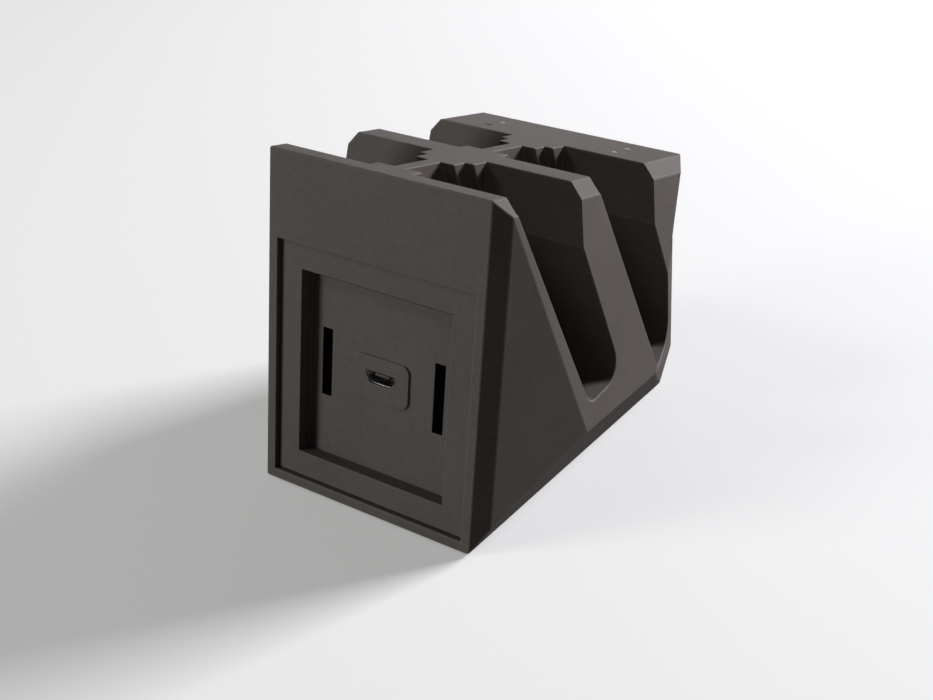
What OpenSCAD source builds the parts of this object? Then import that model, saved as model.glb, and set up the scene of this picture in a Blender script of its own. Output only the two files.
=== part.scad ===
// Charging dock for four slim half-controllers, with its inner boards and contacts.
// Shapes are drawn in the body's own frame: X across, Y from the rear panel to the front,
// Z up along the panel. stand() then leans that frame forward, so that the base lies flat
// on z = 0, with the origin under the middle of the dock.

/* [Body] */
// Width of the rear panel and of the base
panel_w = 55; // [50:0.5:60]
// Height of the rear panel, measured along it
panel_h = 75.4; // [72:0.1:80]
// Length of the top, from the panel to the front edge
top_len = 78.5; // [76:0.5:84]
// Length of the base, from the panel to the toe
base_len = 81.8; // [78:0.1:86]
// Forward lean of the rear panel, in degrees
lean = 8.5; // [7:0.5:10]
// Fall of the top towards the front, in degrees from square to the panel
top_fall = 3.5; // [2:0.5:5]
// Flare of the upper sides, in degrees from upright
side_slope = 8.5; // [7.5:0.1:9.5]
// Slope of the lower flanks, in degrees from the base
flank_slope = 59.5; // [58:0.1:61]
// Width of the bevel along each top edge
top_bevel = 2.8; // [2:0.1:3.5]
// Height of the bevel along each top edge
top_bevel_h = 3.2; // [2.4:0.1:4]
// Width of the bevel on each upright edge of the rear panel
panel_bevel = 2.8; // [2:0.1:3.5]
// Depth of the rear shoulders behind the panel's face
panel_proud = 3.6; // [3:0.1:4]
// Turn of the rear side facets, in degrees from the length of the dock
rear_turn = 17; // [15:0.5:19]

/* [Front] */
// Distance of the lip's underside from the panel
lip_y = 73.3; // [72:0.1:75]
// Thickness of the lip along the front
lip_t = 3.4; // [2.5:0.1:4]
// Distance of the waist below the lip from the panel
waist_y = 68.9; // [68:0.1:70]
// Height of the waist
waist_z = 53.7; // [52:0.2:55]
// Distance of the toe's upper edge from the panel
toe_y = 80; // [79:0.5:82]
// Height of the toe's upper edge
toe_z = 23.6; // [23:0.2:25]
// Half width of the front at the toe's upper edge
toe_half_w = 30.1; // [29.5:0.1:31]
// Distance of the front end of each side ridge from the panel
ridge_end_y = 59.2; // [58:0.1:61]

/* [Bays] */
// Distance of the first bay's mouth from the panel
bay_start = 5.05; // [4.8:0.05:5.5]
// Pitch of the two rows of bays
bay_pitch = 31.5; // [31:0.1:32]
// Length of each bay's mouth at the top
bay_mouth = 23.7; // [23:0.1:24.2]
// Slope of the bays, in degrees from upright
bay_slope = 27.8; // [27:0.1:28.6]
// Slope of the front wall of each bay, in degrees from upright
bay_front_slope = 24.8; // [24:0.1:26]
// Depth of the upright part of a bay's rear wall
bay_rear_step = 2.6; // [2:0.1:3.2]
// Depth of the upright part of a bay's front wall
bay_front_step = 14.5; // [13:0.1:15]
// Height of the bay floors' rear corner above the panel's lower edge, measured at the panel
bay_floor_z = 27.2; // [26.4:0.1:28.4]
// Slope of the bay floors, in degrees
bay_floor_slope = 12.2; // [11:0.2:14]
// Radius of the floor's rear corner
bay_rear_r = 3.5; // [2.5:0.1:4]
// Radius of the floor's front corner
bay_front_r = 5; // [4:0.1:5.5]

/* [Centre column] */
// Thickness of the web between left and right bays
web_t = 3.2; // [3:0.1:4]
// Half width of the lip at the rear of each rail channel
channel_lip_x = 5.5; // [5.2:0.1:6]
// Distance of the rail channel from the bay's mouth
channel_y = 2.5; // [2.2:0.1:3]
// Width of the rail channel
channel_w = 9.9; // [9.5:0.1:10.4]
// Half width of the column at the first step in front of the channel
stair_one_x = 4.9; // [4.6:0.1:5.2]
// Half width of the column at the second step
stair_two_x = 7; // [6.5:0.1:7.5]
// Length of the first step
stair_len = 3.6; // [3.2:0.1:4]

/* [Rear recess] */
// Width of the insert in the rear panel
tray_w = 50.6; // [48:0.1:51]
// Height of the insert
tray_h = 53.9; // [52:0.1:55]
// Height of the insert's middle above the panel's lower edge
tray_mid_z = 29.15; // [29:0.05:30]
// Depth of the insert's frame behind the panel
tray_set_back = 1.2; // [0.8:0.1:1.4]
// Width of the insert's frame
tray_frame = 5.9; // [5:0.1:7]
// Depth of the recess floor behind the panel
tray_floor_y = 4.7; // [4.4:0.1:5]
// Thickness of the recess floor
tray_floor_t = 1.1; // [1:0.1:1.2]
// Width of each latch slot
latch_w = 2.6; // [2:0.1:3]
// Height of each latch slot
latch_h = 15.6; // [14:0.1:17]
// Distance of each latch slot from the middle
latch_x = 14.8; // [14:0.1:16]
// Width of the raised pad round the socket
pad_w = 14.6; // [12:0.1:16]
// Height of the raised pad
pad_h = 10; // [8:0.1:12]
// Height of the pad and the latch slots above the insert's middle
slot_rise = 0.3; // [0:0.1:0.5]
// Rise of the pad above the recess floor
pad_rise = 0.5; // [0.3:0.1:0.7]
// Corner radius of the pad
pad_r = 2; // [1:0.1:3]

/* [Socket] */
// Width of the charging socket's shell
socket_w = 7.5; // [7.3:0.1:7.7]
// Height of the shell
socket_h = 2.6; // [2.4:0.1:2.8]
// Depth of the shell
socket_len = 5.2; // [5:0.1:5.6]
// Thickness of the shell's sheet
socket_wall = 0.3; // [0.25:0.05:0.35]

/* [Base] */
// Thickness of the base cover
cover_t = 2.6; // [2.6:0.1:3]
// Width of the base cover
cover_w = 45; // [44:0.5:46]
// Length of the base cover
cover_len = 70; // [69:0.5:71]
// Distance of the base cover from the rear edge of the base
cover_y = 8; // [7.5:0.5:9]
// Width of the ledge that the cover seats on
cover_ledge = 2.5; // [2:0.1:3]
// Diameter of the rubber feet
foot_d = 9; // [8:0.5:10]
// Thickness of the rubber feet
foot_t = 1.4; // [1.4:0.1:1.6]
// Height of the feet that shows below the base
foot_proud = 0.6; // [0.4:0.1:0.7]
// Distance of the feet's middle from the side edges of the base cover
foot_in = 6.1; // [5.9:0.1:6.5]
// Diameter of the screws' shanks
screw_d = 2; // [1.8:0.1:2.2]
// Length of the cover screws
cover_screw_len = 8; // [6:0.5:10]

/* [Boards] */
// Thickness of the boards
board_t = 1.2; // [1:0.1:1.4]
// Gap between the main board and the screw posts at its sides
board_side_gap = 0.6; // [0.4:0.1:1]
// Length of the main board
board_len = 56; // [54:0.5:57]
// Height of the main board above the base
board_z = 5.5; // [5:0.1:6]
// Height of the hollow over the base
hollow_h = 11; // [10.5:0.1:11.5]
// Height of each contact block
block_h = 9; // [8:0.5:10]
// Height that the contact springs stand above their block
pin_rise = 1.2; // [0.8:0.1:1.6]
// Number of contact springs on each block
pin_count = 5; // [3:1:6]
// Diameter of the indicator lenses
lens_d = 1.6; // [1.4:0.1:2]
// Distance of the indicator lenses from the middle line
lens_x = 17.2; // [16.5:0.1:18]
// Distance of the rear pair of lenses from the panel
lens_y = 65.6; // [65:0.1:66.5]
// Distance between the rear and front lenses
lens_pitch = 6.2; // [5.5:0.1:6.5]
// Thickness of the top over the indicator board
lens_len = 2; // [1.8:0.1:2.2]

/* [Fits] */
// Gap round parts that drop into a pocket
fit_gap = 0.1; // [0.1:0.05:0.15]
// Gap round screws, springs and lenses in their holes
hole_gap = 0.05; // [0.03:0.01:0.08]

/* [Hidden] */

plastic = [0.22, 0.21, 0.20];
dark_plastic = [0.12, 0.12, 0.12];
board_green = [0.10, 0.30, 0.18];
steel = [0.75, 0.75, 0.77];
brass = [0.85, 0.68, 0.30];
rubber = [0.10, 0.10, 0.10];
clear = [0.85, 0.85, 0.82];

big = 200;
eps = 0.01;
round_fn = 32;
half_w = panel_w / 2;
mid_y = (top_len * cos(lean) + top_z(top_len) * sin(lean)) / 2;

// Heights of the top and of the base in the body frame, at a distance y from the panel
function top_z(y) = panel_h - y * tan(top_fall);
function base_z(y) = y * tan(lean);
// Half widths of the upper sides and of the lower flanks
function side_x(y, z) = half_w + top_bevel + (top_z(y) - top_bevel_h - z) * tan(side_slope);
// Height in the body frame of a level plane that lies h above the base
function level_z(y, h) = base_z(y) + h / cos(lean);
// Height at which a side meets its flank
function ridge_z(y) = (base_z(y) + (side_x(y, 0) - half_w) * tan(flank_slope))
    / (1 + tan(side_slope) * tan(flank_slope));
function unit(v) = v / norm(v);
// An arc that rounds the corner b between a and c
function corner(a, b, c, r, n = 10) =
    let (u = unit(a - b), v = unit(c - b), half = acos(u * v) / 2,
         mid = b + unit(u + v) * r / sin(half),
         from = b + u * r / tan(half) - mid, to = b + v * r / tan(half) - mid,
         start = atan2(from.y, from.x), turn = atan2(to.y, to.x) - start,
         sweep = turn > 180 ? turn - 360 : turn < -180 ? turn + 360 : turn)
    [for (i = [0:n]) mid + r * [cos(start + sweep * i / n), sin(start + sweep * i / n)]];

module stand() {
    translate([0, -mid_y, foot_proud]) rotate([-lean, 0, 0]) children();
}

// What lies flat on the base is drawn level, with y from the rear edge of the base
module on_base() {
    translate([0, -mid_y, foot_proud]) children();
}

module both_sides() {
    children();
    mirror([1, 0, 0]) children();
}

// Draws a (y, z) outline and extends it across X from one side to the other
module across(from_x, to_x) {
    translate([from_x, 0, 0]) rotate([90, 0, 90]) linear_extrude(to_x - from_x) children();
}

// All that lies beyond the plane through three points, on the side away from the middle
module beyond(a, b, c) {
    n = cross(b - a, c - a);
    out = n * a > 0 ? unit(n) : -unit(n);
    translate(a) rotate([0, acos(out.z), atan2(out.y, out.x)])
        translate([-big / 2, -big / 2, 0]) cube(big);
}

// The faceted outer form, without bays
module side_profile() {
    polygon([[0, 0], [base_len, base_z(base_len)], [toe_y, toe_z], [waist_y, waist_z],
        [lip_y, top_z(top_len) - lip_t], [top_len, top_z(top_len)], [0, panel_h]]);
}

module plan_profile() {
    shoulder_x = half_w + panel_bevel;
    flare = (big / 2 - panel_proud) * tan(rear_turn);
    polygon([[-half_w, 0], [half_w, 0], [shoulder_x, panel_proud], [shoulder_x + flare, big / 2],
        [-shoulder_x - flare, big / 2], [-shoulder_x, panel_proud]]);
}

module outer_form() {
    front = big / 2;
    bevel_x = half_w + top_bevel;
    ridge_end = [side_x(ridge_end_y, ridge_z(ridge_end_y)), ridge_end_y, ridge_z(ridge_end_y)];
    waist_end = [side_x(waist_y, waist_z), waist_y, waist_z];
    toe_end = [toe_half_w, toe_y, toe_z];
    base_end = [half_w, base_len, base_z(base_len)];
    difference() {
        intersection() {
            across(-big / 2, big / 2) side_profile();
            linear_extrude(big / 2) plan_profile();
        }
        both_sides() {
            // bevel along the top edge
            beyond([half_w, 0, top_z(0)], [half_w, front, top_z(front)], [bevel_x, 0, top_z(0) - top_bevel_h]);
            // upper side
            beyond([bevel_x, 0, top_z(0) - top_bevel_h], [bevel_x, front, top_z(front) - top_bevel_h],
                [side_x(0, 0), 0, 0]);
            // lower flank
            beyond([half_w, 0, 0], [half_w, front, base_z(front)], [half_w + 1, 0, tan(flank_slope)]);
            // the two facets of the front corner
            beyond(ridge_end, waist_end, toe_end);
            beyond(ridge_end, toe_end, base_end);
        }
    }
}

// Depth of the rear corner of the bay floors below the mouth
bay_depth = panel_h - bay_floor_z;

// One bay seen from the side, from its mouth to its sloping floor
module bay_profile() {
    over = 5;
    front_x = bay_mouth;
    rear_knee = [0, -bay_rear_step];
    front_knee = [front_x, -bay_front_step];
    rear_low = [(bay_depth - bay_rear_step) * tan(bay_slope), -bay_depth];
    // where the sloping floor meets the front wall
    run = (front_x + (bay_depth - bay_front_step) * tan(bay_front_slope) - rear_low.x)
        / (1 + tan(bay_floor_slope) * tan(bay_front_slope));
    front_low = rear_low + run * [1, tan(bay_floor_slope)];
    polygon(concat(
        [[0, over], rear_knee],
        corner(rear_knee, rear_low, front_low, bay_rear_r),
        corner(rear_low, front_low, front_knee, bay_front_r),
        [front_knee, [front_x, over]]));
}

// Section of one bay pair's right half across its slope, outside the centre column
module bay_section() {
    rear = -20;
    stair_y = channel_y + channel_w;
    polygon([[channel_lip_x, rear], [channel_lip_x, channel_y], [web_t / 2, channel_y],
        [web_t / 2, stair_y], [stair_one_x, stair_y], [stair_one_x, stair_y + stair_len],
        [stair_two_x, stair_y + stair_len], [stair_two_x, big / 2], [big / 2, big / 2],
        [big / 2, rear]]);
}

module at_bay(row) {
    y = bay_start + row * bay_pitch;
    translate([0, y, top_z(y)]) children();
}

module along_bay(row) {
    at_bay(row) rotate([bay_slope, 0, 0]) children();
}

module bay(row) {
    intersection() {
        at_bay(row) across(-big / 2, big / 2) bay_profile();
        along_bay(row) both_sides() translate([0, 0, -big / 2]) linear_extrude(big) bay_section();
    }
}

// Contact blocks: rows 0 and 1 from the rear, side 1 on the right and -1 on the left
block_x = web_t / 2;
block_depth = 3;
block_w = channel_w - 2 * fit_gap;
block_floor = bay_depth * 1.21;
neck_w = 6;
neck_h = 5;
riser_gap_x = board_t / 2 + fit_gap;

module at_block(row, side) {
    along_bay(row) mirror([side < 0 ? 1 : 0, 0, 0])
        translate([0, channel_y + channel_w / 2, -block_floor]) children();
}

module block_pocket() {
    // a pocket in the bay's floor for the block, and a window in the web for its neck
    translate([block_x, -channel_w / 2, 0]) cube([block_depth + fit_gap, channel_w, block_h]);
    translate([0, -neck_w / 2 - fit_gap, 1 - fit_gap])
        cube([block_x + eps, neck_w + 2 * fit_gap, neck_h + 2 * fit_gap]);
}

// Screw places on the base
foot_x = cover_w / 2 - foot_in;
function foot_ys() = [cover_y + foot_d / 2 + 1, cover_y + cover_len - foot_d / 2 - 3];
post_d = 7.6;
board_w = 2 * (foot_x - post_d / 2 - board_side_gap);
board_y = cover_y + 8.5;
board_hole_x = board_w / 2 - 2.5;
function board_hole_ys() = [board_y + 2.5, board_y + board_len - 2.5];
board_screw_len = 5;
head_d = 3.8;
head_h = 0.9;
hollow_w = cover_w - 2 * cover_ledge;
hollow_y = cover_y + cover_ledge;
hollow_len = cover_len - cover_ledge - 4;

module at_feet() {
    for (x = [-foot_x, foot_x]) for (y = foot_ys()) translate([x, y, 0]) children();
}

module at_board_holes() {
    for (x = [-board_hole_x, board_hole_x]) for (y = board_hole_ys()) translate([x, y, 0]) children();
}

module base_hollow() {
    // rebate for the cover, then the hollow with its posts
    difference() {
        union() {
            translate([-cover_w / 2, cover_y, -1]) cube([cover_w, cover_len, cover_t + 1]);
            translate([-hollow_w / 2, hollow_y, 0]) cube([hollow_w, hollow_len, hollow_h]);
        }
        at_feet() translate([0, 0, cover_t]) cylinder(d = post_d, h = hollow_h, $fn = round_fn);
        at_board_holes() translate([0, 0, board_z + board_t]) cylinder(d = 5, h = hollow_h, $fn = round_fn);
    }
    at_feet() cylinder(d = screw_d + 2 * hole_gap, h = cover_t + cover_screw_len, $fn = round_fn);
    at_board_holes() translate([0, 0, board_z])
        cylinder(d = screw_d + 2 * hole_gap, h = board_screw_len + 1, $fn = round_fn);
}

// Rear pocket: the insert's seat, and the room behind it for the socket's board
socket_z = tray_mid_z + slot_rise + 0.3;
tray_back = tray_floor_y + tray_floor_t;
socket_front = tray_floor_y - pad_rise;
socket_board_w = 18;
socket_board_len = 13;
socket_board_y = tray_back + 0.3;
socket_board_z = socket_z - socket_h / 2 - board_t;
socket_room_len = 16;

module rear_pocket() {
    translate([-tray_w / 2, -1, tray_mid_z - tray_h / 2]) cube([tray_w, tray_back + 1, tray_h]);
    low = 12;
    translate([-socket_board_w / 2 - fit_gap, 0, socket_board_z])
        cube([socket_board_w + 2 * fit_gap, tray_back + socket_room_len, 5.6]);
    translate([-socket_board_w / 2 + 1.5, 0, low])
        cube([socket_board_w - 3, tray_back + socket_room_len, socket_board_z - low + eps]);
    for (side = [-1, 1]) translate([side * latch_x - latch_w / 2, 0, tray_mid_z + slot_rise - latch_h / 2])
        cube([latch_w, tray_back + 1, latch_h]);
}

// The riser board stands on the main board inside the web. It carries the contact blocks,
// and an arm at its front reaches up to the indicator board.
riser_y = 31;
riser_front = 70.5;
riser_top = 35;
arm_y = 62;
arm_front = 66;

module riser_profile(gap = 0) {
    low = board_z + board_t + (gap > 0 ? -2 : 0);
    polygon([[riser_y - gap, level_z(riser_y, low)], [riser_front + gap, level_z(riser_front, low)],
        [riser_front + gap, riser_top + gap], [arm_front + gap, riser_top + gap],
        [arm_front + gap, arm_top(arm_front) + gap], [arm_y - gap, arm_top(arm_y) + gap],
        [arm_y - gap, riser_top + gap], [riser_y - gap, riser_top + gap]]);
}

module riser_room() {
    across(-riser_gap_x, riser_gap_x) riser_profile(fit_gap);
}

// Room for the indicator board under the top
lamp_w = 2 * lens_x + 6;
lamp_y = lens_y - 1.6;
lamp_len = lens_pitch + 2.1;
lamp_led_h = 0.6;
lamp_led_gap = 0.2;
lamp_room_h = lamp_led_gap + lamp_led_h + board_t + fit_gap;
cable_t = 0.6;
cable_w = 6;
lamp_board_top = lens_len + lamp_led_gap + lamp_led_h;
function arm_top(y) = top_z(y) - (lamp_board_top + board_t) / cos(top_fall) - 2 * eps;

module under_top(y) {
    translate([0, y, top_z(y)]) rotate([-top_fall, 0, 0]) children();
}

module lamp_room() {
    under_top(lamp_y) translate([-lamp_w / 2 - fit_gap, -fit_gap, -lens_len - lamp_room_h])
        cube([lamp_w + 2 * fit_gap, lamp_len + 2 * fit_gap, lamp_room_h]);
}

module at_lens(index) {
    side = index < 2 ? -1 : 1;
    under_top(lens_y) translate([side * lens_x, (index % 2) * lens_pitch, 0]) children();
}

module housing() {
    color(plastic) difference() {
        stand() difference() {
            outer_form();
            for (row = [0, 1]) bay(row);
            for (row = [0, 1]) for (side = [-1, 1]) at_block(row, side) block_pocket();
            rear_pocket();
            riser_room();
            lamp_room();
            for (i = [0:3]) at_lens(i) translate([0, 0, -lens_len - 1])
                cylinder(d = lens_d + 2 * hole_gap, h = lens_len + 2, $fn = round_fn);
        }
        on_base() base_hollow();
    }
}

module pad_outline(grow = 0) {
    hull() for (x = [-1, 1]) for (z = [-1, 1])
        translate([x * (pad_w / 2 - pad_r), z * (pad_h / 2 - pad_r)]) circle(r = pad_r + grow, $fn = round_fn);
}

// Outline of the socket's shell: wide at the top, with both lower corners cut
module socket_outline(inset = 0) {
    w = socket_w / 2 - inset;
    h = socket_h / 2 - inset;
    cut = 1.1;
    polygon([[-w, h], [w, h], [w, h - 1], [w - cut, -h], [cut - w, -h], [-w, h - 1]]);
}

// Extrudes an (x, z) outline from one depth behind the panel to another
module back_from(from_y, to_y) {
    translate([0, to_y, 0]) rotate([90, 0, 0]) linear_extrude(to_y - from_y) children();
}

module rear_tray() {
    w = tray_w - 2 * fit_gap;
    h = tray_h - 2 * fit_gap;
    color(plastic) stand() translate([0, 0, tray_mid_z]) difference() {
        union() {
            back_from(tray_set_back, tray_back) difference() {
                square([w, h], center = true);
                square([tray_w - 2 * tray_frame, tray_h - 2 * tray_frame], center = true);
            }
            back_from(tray_floor_y, tray_back) square([w, h], center = true);
            back_from(tray_floor_y - pad_rise, tray_floor_y + eps) translate([0, slot_rise]) pad_outline();
        }
        for (side = [-1, 1]) translate([side * latch_x, 0, slot_rise])
            back_from(0, tray_back + 1) square([latch_w, latch_h], center = true);
        back_from(0, tray_back + 1) translate([0, socket_z - tray_mid_z])
            square([socket_w + 2 * fit_gap, socket_h + 2 * fit_gap], center = true);
    }
}

module socket_shell() {
    color(steel) stand() translate([0, 0, socket_z]) difference() {
        back_from(socket_front, socket_front + socket_len) socket_outline();
        back_from(socket_front - 1, socket_front + socket_len - socket_wall) socket_outline(socket_wall);
    }
}

tongue_w = 3.8;
tongue_t = 0.6;
tongue_z = 0.25;

module socket_tongue() {
    color(dark_plastic) stand() translate([-tongue_w / 2, socket_front + 0.6, socket_z + tongue_z])
        cube([tongue_w, socket_len - socket_wall - 0.6, tongue_t]);
}

module socket_contacts() {
    count = 5;
    pitch = 0.65;
    strip_w = 0.35;
    strip_t = 0.1;
    color(brass) stand() for (i = [0:count - 1])
        translate([(i - (count - 1) / 2) * pitch - strip_w / 2, socket_front + 0.9, socket_z + tongue_z - strip_t])
            cube([strip_w, socket_len - socket_wall - 0.9, strip_t]);
}

module socket_board() {
    color(board_green) stand() translate([-socket_board_w / 2, socket_board_y, socket_board_z])
        cube([socket_board_w, socket_board_len, board_t]);
}

module riser_board() {
    color(board_green) stand() across(-board_t / 2, board_t / 2) riser_profile();
}

module main_board() {
    color(board_green) on_base() difference() {
        translate([-board_w / 2, board_y, board_z]) cube([board_w, board_len, board_t]);
        at_board_holes() translate([0, 0, board_z - 1])
            cylinder(d = screw_d + 2 * hole_gap, h = board_t + 2, $fn = round_fn);
    }
}

spring_w = 0.8;
spring_t = 0.5;
spring_set = 2;
spring_pitch = 1.8;

module each_spring() {
    for (i = [0:pin_count - 1])
        translate([block_x + block_depth / 2, (i - (pin_count - 1) / 2) * spring_pitch, block_h]) children();
}

module contact_block(row, side) {
    color(dark_plastic) stand() at_block(row, side) difference() {
        union() {
            translate([block_x, -block_w / 2, 0]) cube([block_depth, block_w, block_h]);
            translate([board_t / 2, -neck_w / 2, 1]) cube([block_x - board_t / 2 + eps, neck_w, neck_h]);
        }
        each_spring() translate([-spring_t / 2 - hole_gap, -spring_w / 2 - hole_gap, -spring_set])
            cube([spring_t + 2 * hole_gap, spring_w + 2 * hole_gap, spring_set + 1]);
    }
}

module contact_springs(row, side) {
    color(brass) stand() at_block(row, side) each_spring()
        translate([-spring_t / 2, -spring_w / 2, -spring_set]) cube([spring_t, spring_w, spring_set + pin_rise]);
}

module base_cover() {
    color(plastic) on_base() difference() {
        translate([-cover_w / 2 + fit_gap, cover_y + fit_gap, 0])
            cube([cover_w - 2 * fit_gap, cover_len - 2 * fit_gap, cover_t]);
        at_feet() {
            translate([0, 0, -1]) cylinder(d = foot_d + 2 * fit_gap, h = 1 + foot_t - foot_proud, $fn = round_fn);
            cylinder(d = head_d + 2 * fit_gap, h = foot_t - foot_proud + head_h, $fn = round_fn);
            cylinder(d = screw_d + 2 * hole_gap, h = cover_t + 1, $fn = round_fn);
        }
    }
}

// A screw with its head down, the top of the head at z = 0
module screw(shank_len) {
    translate([0, 0, -head_h]) cylinder(d = head_d, h = head_h, $fn = round_fn);
    cylinder(d = screw_d, h = shank_len, $fn = round_fn);
}

module cover_screws() {
    color(steel) on_base() at_feet() translate([0, 0, foot_t - foot_proud + head_h]) screw(cover_screw_len);
}

module board_screws() {
    color(steel) on_base() at_board_holes() translate([0, 0, board_z]) screw(board_screw_len);
}

module foot(index) {
    x = index < 2 ? -foot_x : foot_x;
    color(rubber) on_base() translate([x, foot_ys()[index % 2], -foot_proud])
        cylinder(d = foot_d, h = foot_t, $fn = round_fn);
}

module lens(index) {
    color(clear) stand() at_lens(index) translate([0, 0, -lens_len]) cylinder(d = lens_d, h = lens_len, $fn = round_fn);
}

module lamp_board() {
    color(board_green) stand() under_top(lamp_y)
        translate([-lamp_w / 2, 0, -lamp_board_top - board_t]) cube([lamp_w, lamp_len, board_t]);
}

module lamps() {
    color("white") stand() for (i = [0:3]) at_lens(i)
        translate([-0.8, -0.5, -lamp_board_top]) cube([1.6, 1, lamp_led_h]);
}

// A flat cable from the socket's board to the main board
module socket_cable() {
    y = socket_board_y + socket_board_len - 3;
    low = level_z(y + cable_t, board_z + board_t) + eps;
    color(dark_plastic) stand() translate([-cable_w / 2, y, low]) cube([cable_w, cable_t, socket_board_z - low]);
}

housing();
rear_tray();
socket_shell();
socket_tongue();
socket_contacts();
socket_board();
riser_board();
main_board();
contact_block(0, -1);  // contact_block_1
contact_block(0, 1);  // contact_block_2
contact_block(1, -1);  // contact_block_3
contact_block(1, 1);  // contact_block_4
contact_springs(0, -1);  // contact_springs_1
contact_springs(0, 1);  // contact_springs_2
contact_springs(1, -1);  // contact_springs_3
contact_springs(1, 1);  // contact_springs_4
base_cover();
cover_screws();
board_screws();
foot(0);  // foot_1
foot(1);  // foot_2
foot(2);  // foot_3
foot(3);  // foot_4
lens(0);  // lens_1
lens(1);  // lens_2
lens(2);  // lens_3
lens(3);  // lens_4
lamp_board();
lamps();
socket_cable();
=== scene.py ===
"""The look of the controller charging dock: charcoal moulded plastic, a plated charging socket,
sprung contacts in the bays, four indicator lenses and four rubber feet.

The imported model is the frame. The moulded shells are merged copies of their solids with rounded
edges, and the small fittings are built here in the places that their solids hold.
"""
import itertools
import math

import bmesh
import bpy
from mathutils import Matrix, Vector


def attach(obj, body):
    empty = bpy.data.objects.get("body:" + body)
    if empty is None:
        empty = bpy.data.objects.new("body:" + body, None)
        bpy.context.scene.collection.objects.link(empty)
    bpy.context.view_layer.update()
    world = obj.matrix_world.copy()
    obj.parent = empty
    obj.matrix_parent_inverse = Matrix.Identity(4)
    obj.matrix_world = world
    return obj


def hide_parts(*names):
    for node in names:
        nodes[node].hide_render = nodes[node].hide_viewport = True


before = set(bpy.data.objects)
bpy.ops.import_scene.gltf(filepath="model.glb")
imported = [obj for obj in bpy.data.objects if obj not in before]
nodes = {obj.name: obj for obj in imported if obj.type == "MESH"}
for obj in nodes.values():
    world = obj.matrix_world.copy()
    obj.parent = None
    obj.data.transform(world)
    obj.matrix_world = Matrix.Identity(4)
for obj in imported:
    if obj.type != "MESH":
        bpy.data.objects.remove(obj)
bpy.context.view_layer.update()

MM = 0.001
MICRON = 0.000001
UP = Vector((0, 0, 1))
RIGHT = Vector((1, 0, 0))

# The camera that matches the photograph: place in metres, and its three axes
CAMERA_PLACE = (0.16615, -0.23535, 0.17965)
CAMERA_RIGHT = (0.8199, 0.5719, -0.0256)
CAMERA_DOWN = (0.2591, -0.4106, -0.8743)
CAMERA_FORWARD = (-0.5105, 0.7102, -0.4848)
CAMERA_LENS = 55.13
SENSOR_WIDTH = 36.0

# Colours, as linear values
CHARCOAL = (0.112, 0.0995, 0.0905)
# paler edge colour: partly wear, partly a painted highlight on the rounded edges
CHARCOAL_EDGE_WEAR_AND_HIGHLIGHT = (0.150, 0.136, 0.126)
BLACK_NYLON = (0.018, 0.018, 0.019)
# painted shade: black put in slots, behind the insert and on its rims, where shade falls
PAINTED_SHADE_BLACK = (0.004, 0.0035, 0.003)
FLOOR_PALE = (0.72, 0.72, 0.71)
FLOOR_SHADE = (0.20, 0.20, 0.195)
WHITE = (1.0, 1.0, 1.0)

# Face masks of the moulded pieces: 1 on rounded edges, which are paler for wear and a painted
# highlight, and 1 in slots and seams, where shade is painted black
EDGE = "edge_wear_and_highlight"
PAINTED_SHADE_MASK = "painted_shade"


# ---------------------------------------------------------------------------
# Shader nodes and finishes
# ---------------------------------------------------------------------------

def add_node(tree, kind, place=(0, 0), **values):
    """A node with its properties and unlinked inputs set."""
    node = tree.nodes.new(kind)
    node.location = place
    for key, value in values.items():
        if hasattr(node, key):
            setattr(node, key, value)
        else:
            node.inputs[key.replace("_", " ")].default_value = value
    return node


def new_group(name, inputs, outputs):
    """An empty shader group with named sockets, and its two end nodes."""
    group = bpy.data.node_groups.new(name, "ShaderNodeTree")
    for label, kind, value in inputs:
        socket = group.interface.new_socket(label, in_out="INPUT", socket_type="NodeSocket" + kind)
        socket.default_value = value
    for label, kind in outputs:
        group.interface.new_socket(label, in_out="OUTPUT", socket_type="NodeSocket" + kind)
    return group, group.nodes.new("NodeGroupInput"), group.nodes.new("NodeGroupOutput")


def set_or_link(tree, value, slot):
    """Feeds a node's input from a socket, or sets it to a number or a colour."""
    if isinstance(value, bpy.types.NodeSocket):
        tree.links.new(value, slot)
    else:
        slot.default_value = (*value[:3], 1.0) if isinstance(value, tuple) else value


def maths(tree, operation, first, second, clamp=False):
    """A Math node on two values, each a socket or a number."""
    node = add_node(tree, "ShaderNodeMath", operation=operation, use_clamp=clamp)
    set_or_link(tree, first, node.inputs[0])
    set_or_link(tree, second, node.inputs[1])
    return node.outputs[0]


def swing(tree, value, middle, gain, clamp=False):
    """How far a value lies above a middle one, times a gain."""
    return maths(tree, "MULTIPLY", maths(tree, "SUBTRACT", value, middle), gain, clamp)


def mixed(tree, factor, first, second):
    """A colour Mix node. Each of the three is a socket or a plain value."""
    node = add_node(tree, "ShaderNodeMix", data_type="RGBA")
    colour_a, colour_b = node.inputs[6], node.inputs[7]
    for value, slot in ((factor, node.inputs[0]), (first, colour_a), (second, colour_b)):
        set_or_link(tree, value, slot)
    return node.outputs[2]


def noise(tree, place, scale, detail=2.0, roughness=0.5):
    """A Noise texture's value at a place, with its scale a socket or a number."""
    node = add_node(tree, "ShaderNodeTexNoise", Detail=detail, Roughness=roughness)
    tree.links.new(place, node.inputs["Vector"])
    set_or_link(tree, scale, node.inputs["Scale"])
    return node.outputs["Fac"]


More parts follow.
